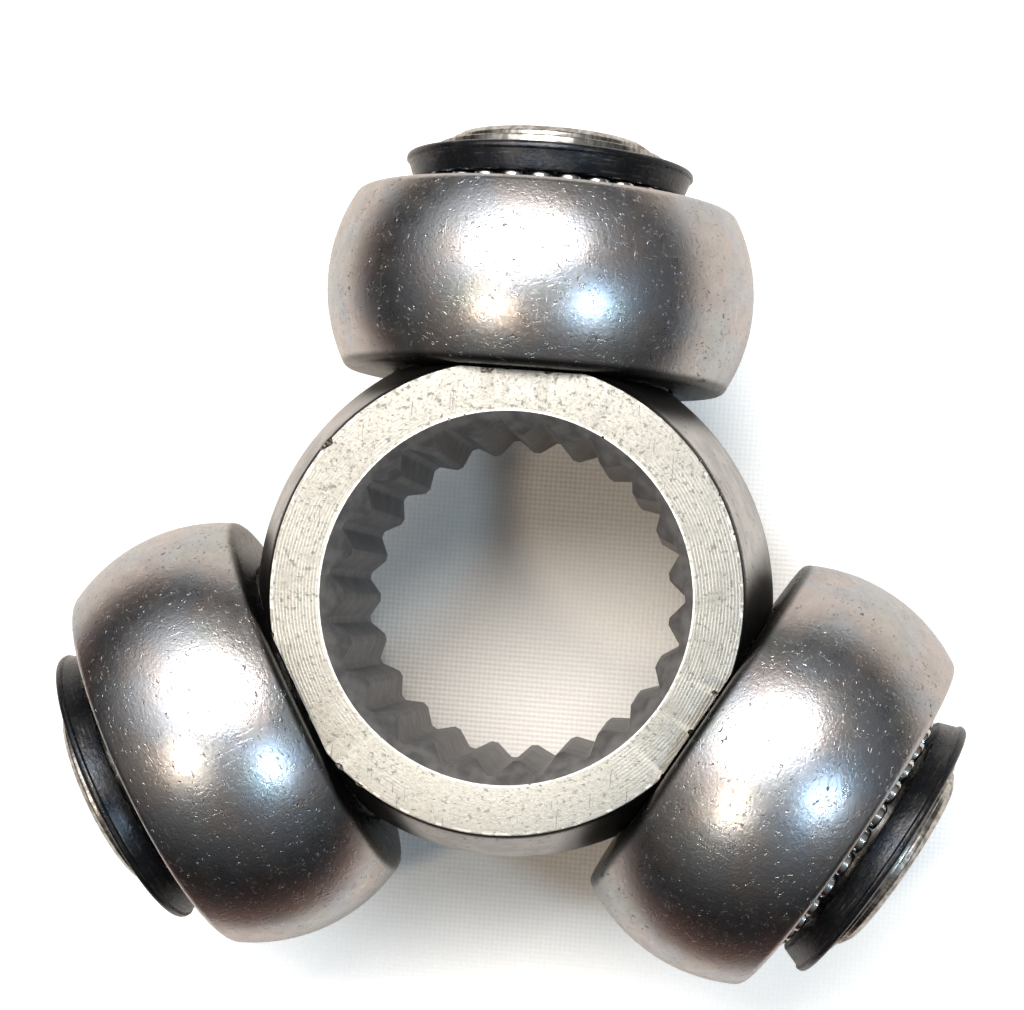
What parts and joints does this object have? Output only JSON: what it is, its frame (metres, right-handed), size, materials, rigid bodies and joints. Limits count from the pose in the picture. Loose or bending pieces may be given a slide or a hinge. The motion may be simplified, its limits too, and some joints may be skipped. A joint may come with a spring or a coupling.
{
  "type": "cv joint tripod",
  "caption": "Tripod of a plunging CV joint: splined spider with barrel rollers on needles, held by tapered rings and circlips.",
  "frame": {"origin": "centre of the hub, on the spline's axis midway between its faces", "axes": "+Z along the spline's axis out of the turned front face, +Y along journal 1; journals 2 and 3 follow anticlockwise at thirds of a turn"},
  "size_m": [0.0676, 0.0616, 0.032],
  "materials": {
    "forged_steel": "turned",
    "roller_steel": "ground",
    "needle_steel": "polished",
    "black_steel": "black oxide",
    "spring_steel": "satin"
  },
  "bodies": {
    "spider": {"spider": "forged_steel", "circlip_1": "spring_steel", "circlip_2": "spring_steel", "circlip_3": "spring_steel"},
    "needles_1": {"needles_1a": "needle_steel", "needles_1b": "needle_steel", "needles_1c": "needle_steel", "needles_1d": "needle_steel"},
    "retainer_1": {"retainer_1": "black_steel"},
    "roller_1": {"roller_1": "roller_steel"},
    "needles_2": {"needles_2a": "needle_steel", "needles_2b": "needle_steel", "needles_2c": "needle_steel", "needles_2d": "needle_steel"},
    "retainer_2": {"retainer_2": "black_steel"},
    "roller_2": {"roller_2": "roller_steel"},
    "needles_3": {"needles_3a": "needle_steel", "needles_3b": "needle_steel", "needles_3c": "needle_steel", "needles_3d": "needle_steel"},
    "retainer_3": {"retainer_3": "black_steel"},
    "roller_3": {"roller_3": "roller_steel"}
  },
  "joints": [
    {"name": "roller_1_spin", "type": "hinge", "parent": "spider", "child": "retainer_1", "pos_m": [0, 0.03, 0], "axis": [0, 1, 0], "continuous": true},
    {"name": "roller_1_slide", "type": "slide", "parent": "retainer_1", "child": "roller_1", "axis": [0, 1, 0], "range_m": [-0.00005, 0.00135]},
    {"name": "needles_1_orbit", "type": "hinge", "parent": "spider", "child": "needles_1", "pos_m": [0, 0.03, 0], "axis": [0, 1, 0], "continuous": true},
    {"name": "roller_2_spin", "type": "hinge", "parent": "spider", "child": "retainer_2", "pos_m": [-0.02598, -0.015, 0], "axis": [-0.866, -0.5, 0], "continuous": true},
    {"name": "roller_2_slide", "type": "slide", "parent": "retainer_2", "child": "roller_2", "axis": [-0.866, -0.5, 0], "range_m": [-0.00025, 0.00145]},
    {"name": "needles_2_orbit", "type": "hinge", "parent": "spider", "child": "needles_2", "pos_m": [-0.02598, -0.015, 0], "axis": [-0.866, -0.5, 0], "continuous": true},
    {"name": "roller_3_spin", "type": "hinge", "parent": "spider", "child": "retainer_3", "pos_m": [0.02598, -0.015, 0], "axis": [0.866, -0.5, 0], "continuous": true},
    {"name": "roller_3_slide", "type": "slide", "parent": "retainer_3", "child": "roller_3", "axis": [0.866, -0.5, 0], "range_m": [-0.00005, 0.00165]},
    {"name": "needles_3_orbit", "type": "hinge", "parent": "spider", "child": "needles_3", "pos_m": [0.02598, -0.015, 0], "axis": [0.866, -0.5, 0], "continuous": true}
  ],
  "couplings": [
    {"joint": "needles_1_orbit", "follows": "roller_1_spin", "ratio": 0.5574},
    {"joint": "needles_2_orbit", "follows": "roller_2_spin", "ratio": 0.5574},
    {"joint": "needles_3_orbit", "follows": "roller_3_spin", "ratio": 0.5574}
  ]
}
